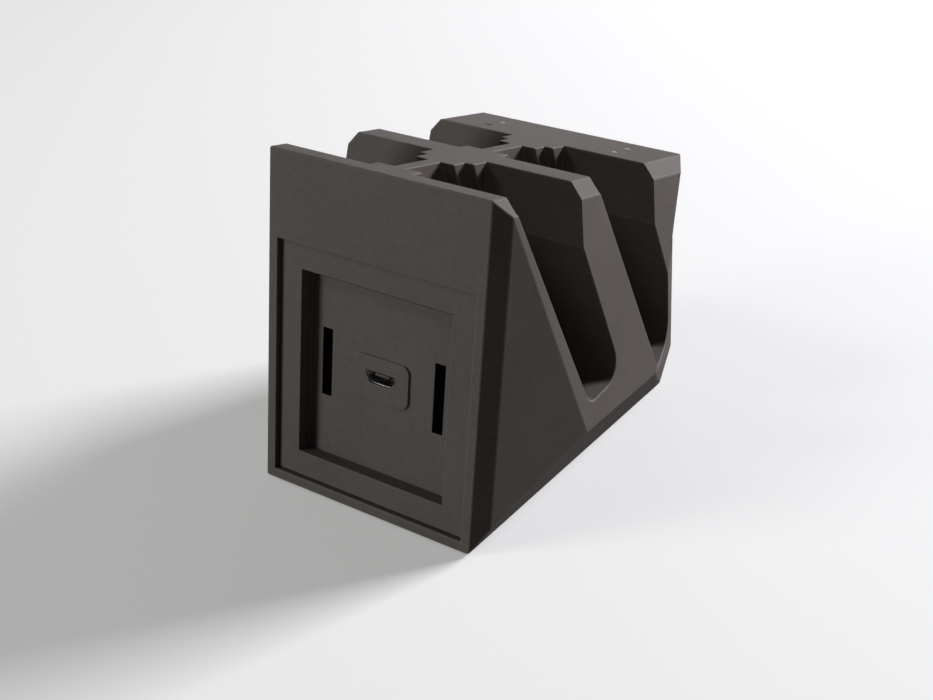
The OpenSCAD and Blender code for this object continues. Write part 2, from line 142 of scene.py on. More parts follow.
def make_spark_finish():
    """The fine pitted finish of a spark-eroded mould, with slow variation, paler edges for wear and
    a painted highlight, and painted black shade.
    """
    cloud_scale, speck_scale, edge_patch_scale = 45.0, 900.0, 210.0
    pits_per_grain, pit_share = 1.35, 0.55
    cloud_gain, speck_gain = 1.6, 1.0
    edge_patch_middle, edge_patch_base = 0.45, 0.55
    cloud_roughness, edge_polish = 0.14, 0.12

    group, inlet, outlet = new_group("spark eroded finish", [
        ("Position", "Vector", (0, 0, 0)), ("Colour", "Color", (0.1, 0.1, 0.1, 1)),
        ("Edge colour", "Color", (0.2, 0.2, 0.2, 1)), ("Edge", "Float", 0.0),
        ("Painted shade", "Float", 0.0), ("Grain scale", "Float", 2600.0), ("Mottle", "Float", 0.1),
        ("Roughness", "Float", 0.55), ("Edge patchiness", "Float", 0.5),
    ], [("Colour", "Color"), ("Roughness", "Float"), ("Height", "Float")])
    given, place = inlet.outputs, inlet.outputs["Position"]
    grain = noise(group, place, given["Grain scale"], detail=3.0, roughness=0.62)
    pits = add_node(group, "ShaderNodeTexVoronoi", feature="F1")
    pit_scale = maths(group, "MULTIPLY", given["Grain scale"], pits_per_grain)
    group.links.new(place, pits.inputs["Vector"])
    group.links.new(pit_scale, pits.inputs["Scale"])
    cloud = noise(group, place, cloud_scale, detail=4.0, roughness=0.6)
    speck = noise(group, place, speck_scale, detail=1.0)

    # slow clouds and fine specks move the colour a little up and down
    shift = maths(group, "ADD", swing(group, cloud, 0.5, cloud_gain),
                  swing(group, speck, 0.5, speck_gain))
    level = maths(group, "ADD", maths(group, "MULTIPLY", shift, given["Mottle"]), 1.0)
    toned = add_node(group, "ShaderNodeVectorMath", operation="SCALE")
    group.links.new(given["Colour"], toned.inputs[0])
    group.links.new(level, toned.inputs["Scale"])

    # edges are paler, for wear and a painted highlight, where the patch noise lets them
    wear_and_highlight = noise(group, place, edge_patch_scale, detail=5.0, roughness=0.7)
    patchy = maths(group, "ADD", swing(group, wear_and_highlight, edge_patch_middle, given["Edge patchiness"]), edge_patch_base, clamp=True)
    edge = maths(group, "MULTIPLY", given["Edge"], patchy, clamp=True)
    colour = mixed(group, edge, toned.outputs[0], given["Edge colour"])
    # painted shade: black where the shade mask is set
    colour = mixed(group, given["Painted shade"], colour, PAINTED_SHADE_BLACK)
    group.links.new(colour, outlet.inputs["Colour"])

    rough = maths(group, "ADD", given["Roughness"], swing(group, cloud, 0.5, cloud_roughness))
    polish = maths(group, "MULTIPLY", edge, edge_polish)
    rough = maths(group, "SUBTRACT", rough, polish, clamp=True)
    group.links.new(rough, outlet.inputs["Roughness"])
    pit_height = maths(group, "MULTIPLY", pits.outputs["Distance"], pit_share)
    group.links.new(maths(group, "ADD", grain, pit_height), outlet.inputs["Height"])
    return group


def make_sheet_metal():
    """Rolled and plated sheet: faint lines along one axis and small marks."""
    line_stretch, cloud_scale = (0.06, 1.0, 1.0), 420.0
    stain_middle, stain_gain, line_roughness = 0.52, 2.2, 0.25

    group, inlet, outlet = new_group("plated sheet", [
        ("Position", "Vector", (0, 0, 0)), ("Colour", "Color", (0.6, 0.6, 0.6, 1)),
        ("Tarnish", "Color", (0.3, 0.28, 0.25, 1)), ("Line scale", "Float", 4000.0),
        ("Roughness", "Float", 0.3),
    ], [("Colour", "Color"), ("Roughness", "Float"), ("Height", "Float")])
    given, place = inlet.outputs, inlet.outputs["Position"]
    stretch = add_node(group, "ShaderNodeMapping", Scale=line_stretch)
    group.links.new(place, stretch.inputs["Vector"])
    lines = noise(group, stretch.outputs["Vector"], given["Line scale"])
    cloud = noise(group, place, cloud_scale, detail=3.0)
    stain = swing(group, cloud, stain_middle, stain_gain, clamp=True)
    colour = mixed(group, stain, given["Colour"], given["Tarnish"])
    group.links.new(colour, outlet.inputs["Colour"])
    rough = maths(group, "ADD", given["Roughness"], swing(group, lines, 0.5, line_roughness),
                  clamp=True)
    group.links.new(rough, outlet.inputs["Roughness"])
    group.links.new(lines, outlet.inputs["Height"])
    return group


SPARK_FINISH = make_spark_finish()
SHEET_METAL = make_sheet_metal()


def dressed_material(name, group, group_values, bump_depth, masked=False, **shader_values):
    """A material whose colour, roughness and height come from one finish group.

    A masked one also reads the two face masks of the moulded pieces: paler edges for wear and a
    painted highlight, and painted black shade.
    """
    material = bpy.data.materials.new(name)
    material.use_nodes = True
    tree = material.node_tree
    shader = tree.nodes["Principled BSDF"]
    for key, value in shader_values.items():
        shader.inputs[key.replace("_", " ")].default_value = value
    position = add_node(tree, "ShaderNodeTexCoord", (-900, 0)).outputs["Object"]
    finish = add_node(tree, "ShaderNodeGroup", (-600, 0), node_tree=group)
    for key, value in group_values.items():
        set_or_link(tree, value, finish.inputs[key])
    tree.links.new(position, finish.inputs["Position"])
    if masked:
        for mask, socket, height in ((EDGE, "Edge", -250), (PAINTED_SHADE_MASK, "Painted shade", -450)):
            reader = add_node(tree, "ShaderNodeAttribute", (-900, height), attribute_name=mask)
            tree.links.new(reader.outputs["Fac"], finish.inputs[socket])
    bump = add_node(tree, "ShaderNodeBump", (-300, -250), Strength=1.0, Distance=bump_depth)
    tree.links.new(finish.outputs["Height"], bump.inputs["Height"])
    tree.links.new(bump.outputs["Normal"], shader.inputs["Normal"])
    tree.links.new(finish.outputs["Colour"], shader.inputs["Base Color"])
    tree.links.new(finish.outputs["Roughness"], shader.inputs["Roughness"])
    return material


# paler rounded edges, partly wear and partly a painted highlight; black painted shade where the
# shade mask is set
charcoal = dressed_material("charcoal moulded plastic", SPARK_FINISH, {
    "Colour": CHARCOAL, "Edge colour": CHARCOAL_EDGE_WEAR_AND_HIGHLIGHT, "Grain scale": 2300.0,
    "Mottle": 0.22, "Roughness": 0.64, "Edge patchiness": 0.6,
}, 15 * MICRON, masked=True, Specular_IOR_Level=0.14)
black_nylon = dressed_material("black contact block", SPARK_FINISH, {
    "Colour": BLACK_NYLON, "Edge colour": (0.05, 0.05, 0.05), "Grain scale": 3200.0,
    "Mottle": 0.15, "Roughness": 0.42, "Edge patchiness": 0.3,
}, 12 * MICRON, masked=True)
foot_rubber = dressed_material("foot rubber", SPARK_FINISH, {
    "Colour": (0.022, 0.022, 0.023), "Edge colour": (0.045, 0.045, 0.045), "Grain scale": 1500.0,
    "Mottle": 0.3, "Roughness": 0.78, "Edge patchiness": 0.5,
}, 25 * MICRON, masked=True)
board_lacquer = dressed_material("green board lacquer", SPARK_FINISH, {
    "Colour": (0.02, 0.12, 0.055), "Edge colour": (0.25, 0.22, 0.12), "Grain scale": 1200.0,
    "Mottle": 0.2, "Roughness": 0.32, "Edge patchiness": 0.3,
}, 6 * MICRON, masked=True, Coat_Weight=0.3)
smoked_resin = dressed_material("smoked lens resin", SPARK_FINISH, {
    "Colour": (0.022, 0.019, 0.017), "Edge colour": (0.04, 0.04, 0.04), "Grain scale": 900.0,
    "Mottle": 0.1, "Roughness": 0.5, "Edge patchiness": 0.2,
}, 1 * MICRON, Specular_IOR_Level=0.1)
milky_resin = dressed_material("milky lens resin", SPARK_FINISH, {
    "Colour": (0.40, 0.39, 0.37), "Edge colour": (0.5, 0.5, 0.5), "Grain scale": 900.0,
    "Mottle": 0.06, "Roughness": 0.4, "Edge patchiness": 0.2,
}, 1 * MICRON, Specular_IOR_Level=0.3)
lamp_body = dressed_material("white lamp body", SPARK_FINISH, {
    "Colour": (0.72, 0.71, 0.66), "Edge colour": (0.8, 0.8, 0.78), "Grain scale": 1800.0,
    "Mottle": 0.06, "Roughness": 0.3, "Edge patchiness": 0.2,
}, 3 * MICRON, masked=True)
socket_plate = dressed_material("plated socket sheet", SHEET_METAL, {
    "Colour": (0.66, 0.66, 0.68), "Tarnish": (0.42, 0.41, 0.40), "Line scale": 5200.0,
    "Roughness": 0.24,
}, 3 * MICRON, Metallic=1.0)
screw_plate = dressed_material("zinc plated screw", SHEET_METAL, {
    "Colour": (0.52, 0.53, 0.55), "Tarnish": (0.36, 0.35, 0.33), "Line scale": 3000.0,
    "Roughness": 0.34,
}, 5 * MICRON, Metallic=1.0)
contact_gold = dressed_material("gold plated contact", SHEET_METAL, {
    "Colour": (0.86, 0.60, 0.24), "Tarnish": (0.62, 0.42, 0.18), "Line scale": 4800.0,
    "Roughness": 0.22,
}, 2 * MICRON, Metallic=1.0)


# ---------------------------------------------------------------------------
# Moulded pieces: merged copies of the solids, with their edges rounded
# ---------------------------------------------------------------------------

WELD = 1.5 * MICRON  # corners nearer than this become one
FLAT_ANGLE = math.radians(0.6)  # folds below this are merged into one face
TOOL_EDGE_ANGLE = math.radians(12.0)  # folds above this are rounded
SHORTEST_TOOL_EDGE = 0.25 * MM
FACET_ANGLE = math.radians(38.0)  # folds above this are shaded sharp

# The body frame leans back on the base, as the part's source has it
front_normal = min((face.normal for face in nodes["socket_shell"].data.polygons), key=lambda n: n.y)
STAND = Matrix.Rotation(-math.asin(front_normal.z), 3, "X")


def new_object(name, data):
    """An object in the scene, at the origin and unturned."""
    thing = bpy.data.objects.new(name, data)
    bpy.context.scene.collection.objects.link(thing)
    return thing


def finish_piece(piece, node_name=None):
    """What each piece has in common: its body, and what it stands for."""
    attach(piece, "root")
    if node_name:
        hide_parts(node_name)


def body_corners(node_name):
    """The corners of a node in the body frame, turned about the origin."""
    return [STAND.inverted() @ vert.co for vert in nodes[node_name].data.vertices]


def body_box(node_name):
    """The low and high corner of a node's box in the body frame."""
    corners = body_corners(node_name)
    return (Vector(min(corner[axis] for corner in corners) for axis in range(3)),
            Vector(max(corner[axis] for corner in corners) for axis in range(3)))


def inside(point, box):
    """Whether a point lies in a box between two corners."""
    low, high = box
    return all(low[axis] < point[axis] < high[axis] for axis in range(3))


def is_tool_edge(edge, lowest_angle, shortest):
    """Whether an edge is long and sharp enough to be rounded."""
    return (len(edge.link_faces) == 2 and edge.calc_length() > shortest
            and edge.calc_face_angle(0.0) > lowest_angle)


def rounded_copy(node_name, name, radius, material, segments=3, shade_boxes=()):
    """A node's solid as one closed mesh with rounded edges, which replaces the node.

    Faces with their middle in one of the boxes given, which lie in the body frame, get black
    painted shade.
    """
    form = bmesh.new()
    form.from_mesh(nodes[node_name].data)
    bmesh.ops.remove_doubles(form, verts=form.verts, dist=WELD)
    bmesh.ops.dissolve_limit(form, angle_limit=FLAT_ANGLE, verts=form.verts, edges=form.edges,
                             delimit=set())
    edges = [edge for edge in form.edges if is_tool_edge(edge, TOOL_EDGE_ANGLE, SHORTEST_TOOL_EDGE)]
    old_faces = set(form.faces)
    result = bmesh.ops.bevel(form, geom=edges, offset=radius, offset_type="OFFSET",
                             segments=segments, profile=0.5, affect="EDGES", clamp_overlap=False,
                             loop_slide=True, miter_outer="SHARP", miter_inner="SHARP")
    rounded = set(result["faces"])
    unturned = STAND.inverted()
    marks = []
    for face in form.faces:
        face.smooth = True
        middle = unturned @ face.calc_center_median()
        # each face gets the edge mark (wear and painted highlight) and the painted shade mark
        on_edge = face in rounded and face not in old_faces
        marks.append((float(on_edge), float(any(inside(middle, shade_box) for shade_box in shade_boxes))))
    mesh = bpy.data.meshes.new(name)
    form.to_mesh(mesh)
    form.free()

    # the masks are kept on the faces' corners, so that they stay crisp at the facets
    for mask in (EDGE, PAINTED_SHADE_MASK):
        mesh.attributes.new(mask, "FLOAT", "CORNER")
    wear_and_highlight, shade_values = mesh.attributes[EDGE].data, mesh.attributes[PAINTED_SHADE_MASK].data
    for polygon, (edge_mark, shade_mark) in zip(mesh.polygons, marks):
        for corner in polygon.loop_indices:
            wear_and_highlight[corner].value = edge_mark
            shade_values[corner].value = shade_mark
    mesh.set_sharp_from_angle(angle=FACET_ANGLE)
    mesh.materials.append(material)
    piece = new_object(name, mesh)
    weighting = piece.modifiers.new("even facets", "WEIGHTED_NORMAL")
    weighting.keep_sharp = True
    weighting.weight = 90
    finish_piece(piece, node_name)


insert_low, insert_high = body_box("rear_tray")


def latch_slot_shade():
    """Boxes at the two latch slots of the rear insert and what lies behind them, where shade is
    painted black.
    """
    slot_x, half_w, half_h = 14.8 * MM, 1.4 * MM, 7.9 * MM
    middle_z = (insert_low.z + insert_high.z) / 2 + 0.3 * MM
    near, far = insert_high.y - 0.95 * MM, insert_high.y + 3 * MM
    return [(Vector((side * slot_x - half_w, near, middle_z - half_h)),
             Vector((side * slot_x + half_w, far, middle_z + half_h))) for side in (-1, 1)]


def insert_rim_shade():
    """Boxes on the insert's rims where shade is painted black: its upper and lower seam, and the
    recess's upper edge.
    """
    frame_w, rim = 5.9 * MM, 0.24 * MM
    near, far = insert_low.y - rim, insert_low.y + rim
    seams = [(insert_low.x, insert_high.x, level) for level in (insert_low.z, insert_high.z)]
    seams.append((insert_low.x + frame_w, insert_high.x - frame_w, insert_high.z - frame_w))
    return [(Vector((left - rim, near, level - rim)), Vector((right + rim, far, level + rim)))
            for left, right, level in seams]


def shade_behind_insert():
    """The wall of the housing behind the insert, which shows through the latch slots: a box where
    shade is painted black.
    """
    return (Vector((insert_low.x, insert_high.y - 0.05 * MM, insert_low.z)),
            Vector((insert_high.x, insert_high.y + 4 * MM, insert_high.z)))


# the housing and the insert get black painted shade in the slot, seam and rim boxes
rounded_copy("housing", "dock_housing", 0.32 * MM, charcoal,
             shade_boxes=[shade_behind_insert()])
rounded_copy("rear_tray", "rear_insert", 0.16 * MM, charcoal,
             shade_boxes=latch_slot_shade() + insert_rim_shade())
rounded_copy("base_cover", "bottom_cover", 0.2 * MM, charcoal)
for index in (1, 2, 3, 4):
    rounded_copy(f"contact_block_{index}", f"bay_contact_block_{index}", 0.15 * MM, black_nylon)


# ---------------------------------------------------------------------------
# Where the small fittings stand
# ---------------------------------------------------------------------------

def solids_in(node_name):
    """The corners of each separate solid of a node, in the order of the node's own corners."""
    form = bmesh.new()
    form.from_mesh(nodes[node_name].data)
    bmesh.ops.remove_doubles(form, verts=form.verts, dist=WELD)
    reached, groups = set(), []
    for start in form.verts:
        if start in reached:
            continue
        reached.add(start)
        wave, group = [start], []
        while wave:
            corner = wave.pop()
            group.append(corner.co.copy())
            for edge in corner.link_edges:
                other = edge.other_vert(corner)
                if other not in reached:
                    reached.add(other)
                    wave.append(other)
        groups.append(group)
    form.free()
    return groups


def middle_of(corners):
    """The mean of some corners."""
    return sum(corners, Vector()) / len(corners)


def is_square_trio(edges):
    """Whether three edges stand at right angles to each other."""
    pairs = itertools.combinations([edge.normalized() for edge in edges], 2)
    return all(abs(first.dot(second)) < 0.01 for first, second in pairs)


def box_axes(corners, up):
    """The axes of a box-shaped solid as (unit vector, length) pairs: short, wide, and along up."""
    edges = [other - corners[0] for other in corners[1:]]
    trio = next(trio for trio in itertools.combinations(edges, 3) if is_square_trio(trio))
    trio = sorted(trio, key=lambda edge: abs(edge.normalized().dot(up)))
    upward = trio[2] if trio[2].dot(up) > 0 else -trio[2]
    short, wide = sorted(trio[:2], key=lambda edge: edge.length)
    return [(edge.normalized(), edge.length) for edge in (short, wide, upward)]


def turn_to(across, upward):
    """A turn that takes X to the first direction and Z to the second."""
    along = upward.cross(across).normalized()
    return Matrix((across, along, upward)).transposed()


def round_axis(node_name):
    """Foot, direction, radius and length of a turned solid that stands about upright."""
    mesh = nodes[node_name].data
    caps = [face for face in mesh.polygons if face.normal.dot(UP) > 0.9]
    axis = max(caps, key=lambda face: face.area).normal.copy()
    middle = middle_of(solids_in(node_name)[0])
    spans = [vert.co - middle for vert in mesh.vertices]
    heights = [span.dot(axis) for span in spans]
    radius = max((span - axis * height).length for span, height in zip(spans, heights))
    return middle + axis * min(heights), axis, radius, max(heights) - min(heights)


# ---------------------------------------------------------------------------
# Making small forms, and copying them
# ---------------------------------------------------------------------------

FITTING_FACET_ANGLE = math.radians(35.0)
SOFTENED_ANGLE = math.radians(30.0)


def new_piece(name, form, material):
    """A small form as an object with its finish, smooth but for its sharp folds."""
    mesh = bpy.data.meshes.new(name)
    bmesh.ops.recalc_face_normals(form, faces=form.faces)
    for face in form.faces:
        face.smooth = True
    form.to_mesh(mesh)
    form.free()
    mesh.set_sharp_from_angle(angle=FITTING_FACET_ANGLE)
    mesh.materials.append(material)
    return new_object(name, mesh)


def arc_points(centre, radius, start, end, steps):
    """Points on an arc of a circle in a plane, from one angle to another."""
    angles = [start + (end - start) * i / steps for i in range(steps + 1)]
    return [(centre[0] + radius * math.cos(angle), centre[1] + radius * math.sin(angle))
            for angle in angles]


def lathe(profile, segments=40):
    """A turned form round Z from (radius, height) pairs. Its ends lie on the axis."""
    form = bmesh.new()
    turns = [2 * math.pi * i / segments for i in range(segments)]
    rings = []
    for radius, height in profile:
        if radius < MICRON:
            rings.append([form.verts.new((0, 0, height))] * segments)
        else:
            rings.append([form.verts.new((radius * math.cos(turn), radius * math.sin(turn), height))
                          for turn in turns])
    for low, high in zip(rings, rings[1:]):
        for i in range(segments):
            j = (i + 1) % segments
            corners = list(dict.fromkeys((low[i], low[j], high[j], high[i])))
            if len(corners) > 2:
                form.faces.new(corners)
    return form


def bridge(form, rings):
    """Faces between each ring of corners and the next."""
    for first, second in zip(rings, rings[1:]):
        for i in range(len(first)):
            j = (i + 1) % len(first)
            form.faces.new((first[i], first[j], second[j], second[i]))


def skin(loops):
    """A closed form through loops with equal numbers of points."""
    form = bmesh.new()
    rings = [[form.verts.new(point) for point in loop] for loop in loops]
    bridge(form, rings)
    form.faces.new(rings[0])
    form.faces.new(rings[-1])
    return form


def plate_form(outline, thickness):
    """A flat outline in X and Y given a thickness along Z, about the middle."""
    return skin([[(x, y, side * thickness / 2) for x, y in outline] for side in (-1, 1)])


def soften(form, radius, segments=2):
    """Bevels the sharp edges of a small form."""
    edges = [edge for edge in form.edges if is_tool_edge(edge, SOFTENED_ANGLE, 2 * radius)]
    bmesh.ops.bevel(form, geom=edges, offset=radius, offset_type="OFFSET", segments=segments,
                    profile=0.5, affect="EDGES", clamp_overlap=True)


def make_copies_group():
    """Geometry Nodes: copies of one item on a grid of places, with its finish."""
    group = bpy.data.node_groups.new("copies on a grid", "GeometryNodeTree")

    def add_socket(label, kind, side="INPUT"):
        group.interface.new_socket(label, in_out=side, socket_type="NodeSocket" + kind)

    add_socket("Geometry", "Geometry")
    for label, kind in (("Item", "Object"), ("Columns", "Int"), ("Rows", "Int"),
                        ("First place", "Vector"), ("Column step", "Vector"),
                        ("Row step", "Vector"), ("Turn", "Rotation"), ("Finish", "Material")):
        add_socket(label, kind)
    add_socket("Geometry", "Geometry", "OUTPUT")
    inlet, outlet = group.nodes.new("NodeGroupInput"), group.nodes.new("NodeGroupOutput")
    given, link = inlet.outputs, group.links.new
    columns = add_node(group, "GeometryNodeMeshLine", (-600, 200))
    link(given["Columns"], columns.inputs["Count"])
    link(given["First place"], columns.inputs["Start Location"])
    link(given["Column step"], columns.inputs["Offset"])
    rows = add_node(group, "GeometryNodeMeshLine", (-600, -100))
    link(given["Rows"], rows.inputs["Count"])
    link(given["Row step"], rows.inputs["Offset"])
    grid = add_node(group, "GeometryNodeInstanceOnPoints", (-400, 100))
    link(rows.outputs["Mesh"], grid.inputs["Points"])
    link(columns.outputs["Mesh"], grid.inputs["Instance"])
    places = add_node(group, "GeometryNodeRealizeInstances", (-200, 100))
    link(grid.outputs["Instances"], places.inputs["Geometry"])
    item = add_node(group, "GeometryNodeObjectInfo", (-200, -100))
    link(given["Item"], item.inputs["Object"])
    copies = add_node(group, "GeometryNodeInstanceOnPoints", (0, 0))
    link(places.outputs["Geometry"], copies.inputs["Points"])
    link(item.outputs["Geometry"], copies.inputs["Instance"])
    link(given["Turn"], copies.inputs["Rotation"])
    solid = add_node(group, "GeometryNodeRealizeInstances", (200, 0))
    link(copies.outputs["Instances"], solid.inputs["Geometry"])
    finish = add_node(group, "GeometryNodeSetMaterial", (400, 0))
    link(solid.outputs["Geometry"], finish.inputs["Geometry"])
    link(given["Finish"], finish.inputs["Material"])
    link(finish.outputs["Geometry"], outlet.inputs["Geometry"])
    return group


COPIES = make_copies_group()


def bake(piece):
    """Applies a piece's modifiers for good."""
    depsgraph = bpy.context.evaluated_depsgraph_get()
    evaluated = piece.evaluated_get(depsgraph)
    mesh = bpy.data.meshes.new_from_object(evaluated, depsgraph=depsgraph)
    piece.modifiers.clear()
    piece.data = mesh


def grid_of(name, item, places, turn, material, node_name):
    """Copies of an item at places in one row, or in two rows and two columns."""
    first = min(places, key=lambda place: [round(value, 5) for value in place])
    steps = sorted((place - first for place in places if place is not first),
                   key=lambda step: step.length)
    if len(places) == 4:
        columns, rows, column_step, row_step = 2, 2, steps[0], steps[1]
    else:
        columns, rows, column_step, row_step = len(places), 1, steps[0], Vector()
    piece = new_object(name, bpy.data.meshes.new(name))
    modifier = piece.modifiers.new("copies", "NODES")
    modifier.node_group = COPIES
    values = {"Item": item, "Columns": columns, "Rows": rows, "First place": tuple(first),
              "Column step": tuple(column_step), "Row step": tuple(row_step),
              "Turn": tuple(turn.to_euler()), "Finish": material}
    for socket in COPIES.interface.items_tree:
        if socket.in_out == "INPUT" and socket.name in values:
            modifier[socket.identifier] = values[socket.name]
    piece.update_tag()
    bake(piece)
    bpy.data.objects.remove(item)
    finish_piece(piece, node_name)


# ---------------------------------------------------------------------------
# The charging socket
# ---------------------------------------------------------------------------

SHELL_WALL = 0.3 * MM
SHELL_CORNER = 0.28 * MM
SHELL_SLOPE = 1.1 * MM  # how far the lower corners are drawn in
SHELL_SIDE = 1.0 * MM  # height of the upright sides
MOUTH_DEPTH = 0.3 * MM  # the mouth lies this far back from the solid's front
socket_low, socket_high = body_box("socket_shell")
socket_middle = (socket_low + socket_high) / 2


def round_corner(before, here, after, radius, steps=4):
    """Points of a rounded corner between two sides of an outline."""
    here, before, after = Vector(here), Vector(before), Vector(after)
    start = here + (before - here).normalized() * radius
    end = here + (after - here).normalized() * radius
    shares = [step / steps for step in range(steps + 1)]
    return [start * (1 - t) ** 2 + here * 2 * t * (1 - t) + end * t ** 2 for t in shares]


def socket_loop(depth, inset, corner_radius=SHELL_CORNER, slope=SHELL_SLOPE):
    """The socket's outline at a depth behind its front, taken in by an inset."""
    w = (socket_high.x - socket_low.x) / 2 - inset
    h = (socket_high.z - socket_low.z) / 2 - inset
    outline = [(-w, h), (w, h), (w, h - SHELL_SIDE), (w - slope, -h), (slope - w, -h),
               (-w, h - SHELL_SIDE)]
    radius = max(corner_radius - inset * 0.6, 0.08 * MM)
    trios = zip(outline[-1:] + outline[:-1], outline, outline[1:] + outline[:1])
    points = [point for trio in trios for point in round_corner(*trio, radius)]
    return [STAND @ Vector((socket_middle.x + point.x, socket_low.y + depth,
                            socket_middle.z + point.y)) for point in points]


def make_socket_shell():
    """The folded shell with its flared mouth."""
    length = socket_high.y - socket_low.y
    back = [(length, 0.05 * MM), (length - 0.08 * MM, 0)]
    lip = [(0.12, 0), (0.04, 0.02), (0, 0.06), (0, 0.09), (0.05, 0.14), (0.25, 0.22)]
    lip = [(MOUTH_DEPTH + depth * MM, inset * MM) for depth, inset in lip]
    bore = [(MOUTH_DEPTH + 0.6 * MM, SHELL_WALL), (length - SHELL_WALL, SHELL_WALL)]
    form = skin([socket_loop(depth, inset) for depth, inset in back + lip + bore])
    shell = new_piece("charging_socket_shell", form, socket_plate)
    finish_piece(shell, "socket_shell")


def pad_depth():
    """How far the face of the insert's raised pad lies behind the shell's front."""
    half_w = (socket_high.x - socket_low.x) / 2
    at_opening = [corner.y for corner in body_corners("rear_tray")
                  if abs(abs(corner.x) - half_w) < 0.3 * MM
                  and abs(corner.z - socket_middle.z) < 2 * MM]
    return min(at_opening) - socket_low.y


def make_socket_surround():
    """The collar of the insert, which takes the opening in to the shell's outline."""
    front = pad_depth() + 0.02 * MM
    back = pad_depth() + 1.2 * MM
    inner_gap, opening_gap, opening_corner = 0.06 * MM, 0.09 * MM, 0.01 * MM
    loops = [socket_loop(front, -opening_gap, opening_corner, slope=0),
             socket_loop(front, -inner_gap), socket_loop(back, -inner_gap),
             socket_loop(back, -opening_gap, opening_corner, slope=0)]
    collar = bmesh.new()
    rings = [[collar.verts.new(point) for point in loop] for loop in loops]
    bridge(collar, rings + rings[:1])
    finish_piece(new_piece("socket_surround", collar, charcoal))


def make_socket_contacts():
    """Contact strips under the tongue, with rounded noses."""
    strips = solids_in("socket_contacts")
    strip_w = box_axes(strips[0], RIGHT)[2][1]
    (_, strip_t), _, (inward, strip_len) = box_axes(strips[0], STAND @ Vector((0, 1, 0)))
    half = strip_w / 2
    nose = arc_points((0, half), half, 0, -math.pi, 8)
    form = plate_form(nose + [(-half, strip_len), (half, strip_len)], strip_t)
    soften(form, 0.015 * MM, segments=1)
    item = new_piece("strip item", form, contact_gold)
    places = [middle_of(strip) - inward * strip_len / 2 for strip in strips]
    grid_of("charging_socket_contacts", item, places, STAND, contact_gold,
            "socket_contacts")


make_socket_shell()
make_socket_surround()
make_socket_contacts()
rounded_copy("socket_tongue", "charging_socket_tongue", 0.1 * MM, black_nylon)


# ---------------------------------------------------------------------------
# Springs, screws, feet, lenses, lamps and boards
# ---------------------------------------------------------------------------

def make_bay_springs(index):
    """Five folded leaf springs with round tops, set in their contact block."""
    node_name = f"contact_springs_{index}"
    springs = solids_in(node_name)
    (thin, thickness), (_, width), (upward, length) = box_axes(springs[0], UP)
    leaf = 0.15 * MM
    outer, inner, bend = thickness / 2, thickness / 2 - leaf, length - thickness / 2
    outline = [(outer, 0)] + arc_points((0, bend), outer, 0, math.pi, 10) + [(-outer, 0)]
    outline += [(-inner, 0)] + arc_points((0, bend), inner, math.pi, 0, 10) + [(inner, 0)]
    form = skin([[(x, side * width / 2, z) for x, z in outline] for side in (-1, 1)])
    soften(form, 0.03 * MM)
    item = new_piece("spring item", form, contact_gold)
    places = [middle_of(spring) - upward * length / 2 for spring in springs]
    grid_of(f"bay_springs_{index}", item, places, turn_to(thin, upward), contact_gold,
            node_name)


def screw_profile(length):
    """Half the outline of a pan-head screw from its head down, as (radius, height) pairs."""
    head_r, head_h = 1.9 * MM, 0.9 * MM
    core, crest, pitch = 0.82 * MM, 0.99 * MM, 0.6 * MM
    neck, tip_len, tip_r = 0.4 * MM, 1.2 * MM, 0.35 * MM
    profile = [(0, 0), (head_r * 0.5, 0), (head_r * 0.8, 0.07 * MM), (head_r * 0.95, 0.25 * MM),
               (head_r * 0.99, 0.5 * MM), (head_r * 0.99, head_h - 0.05 * MM),
               (head_r * 0.95, head_h), (crest, head_h), (crest, head_h + neck)]
    height = head_h + 0.5 * MM
    while height < length - tip_len:
        profile += [(core, height), (core, height + pitch * 0.3), (crest, height + pitch * 0.6),
                    (crest, height + pitch * 0.7)]
        height += pitch
    return profile + [(core, height), (tip_r, length - 0.05 * MM), (0, length - 0.01 * MM)]


def recess_cutter():
    """The cross that the driver's recess is cut with: two tapered bars at right angles."""
    half_w, wing, depth, below, taper_at_end = 0.2 * MM, 1.05 * MM, 0.62 * MM, 0.2 * MM, 0.45
    form = bmesh.new()
    for turned in (False, True):
        for corner in bmesh.ops.create_cube(form, size=1.0)["verts"]:
            outer_end = corner.co.z < 0
            reach = wing if outer_end else wing * taper_at_end
            x, y = corner.co.x * 2 * reach, corner.co.y * 2 * half_w
            corner.co = (*((-y, x) if turned else (x, y)), -below if outer_end else depth)
    return new_piece("recess cutter", form, screw_plate)


def make_screws(name, node_name):
    """Four pan-head screws with cross recesses and threads, heads down."""
    screws = solids_in(node_name)
    bottoms = [min(corner.z for corner in screw) for screw in screws]
    length = max(corner.z for corner in screws[0]) - bottoms[0]
    item = new_piece("screw item", lathe(screw_profile(length), 32), screw_plate)
    cutter = recess_cutter()
    cut = item.modifiers.new("cross recess", "BOOLEAN")
    cut.operation, cut.solver, cut.object, cut.use_self = "DIFFERENCE", "EXACT", cutter, True
    bake(item)
    bpy.data.objects.remove(cutter)
    middles = [middle_of(screw) for screw in screws]
    places = [Vector((middle.x, middle.y, bottom)) for middle, bottom in zip(middles, bottoms)]
    grid_of(name, item, places, Matrix.Identity(3), screw_plate, node_name)


def place_round(name, node_name, profile_of, material):
    """A turned piece on the axis of its solid."""
    foot, axis, radius, length = round_axis(node_name)
    form = lathe(profile_of(radius, length))
    sideways = (RIGHT - axis * axis.x).normalized()
    bmesh.ops.transform(form, verts=form.verts,
                        matrix=Matrix.Translation(foot) @ turn_to(sideways, axis).to_4x4())
    finish_piece(new_piece(name, form, material), node_name)


def foot_profile(radius, length):
    """A rubber foot with a round lower edge."""
    edge, bevel = 0.45 * MM, 0.1 * MM
    rounding = arc_points((radius - edge, edge), edge, -math.pi / 2, 0, 6)
    return [(0, 0)] + rounding + [(radius, length - bevel), (radius - bevel, length), (0, length)]


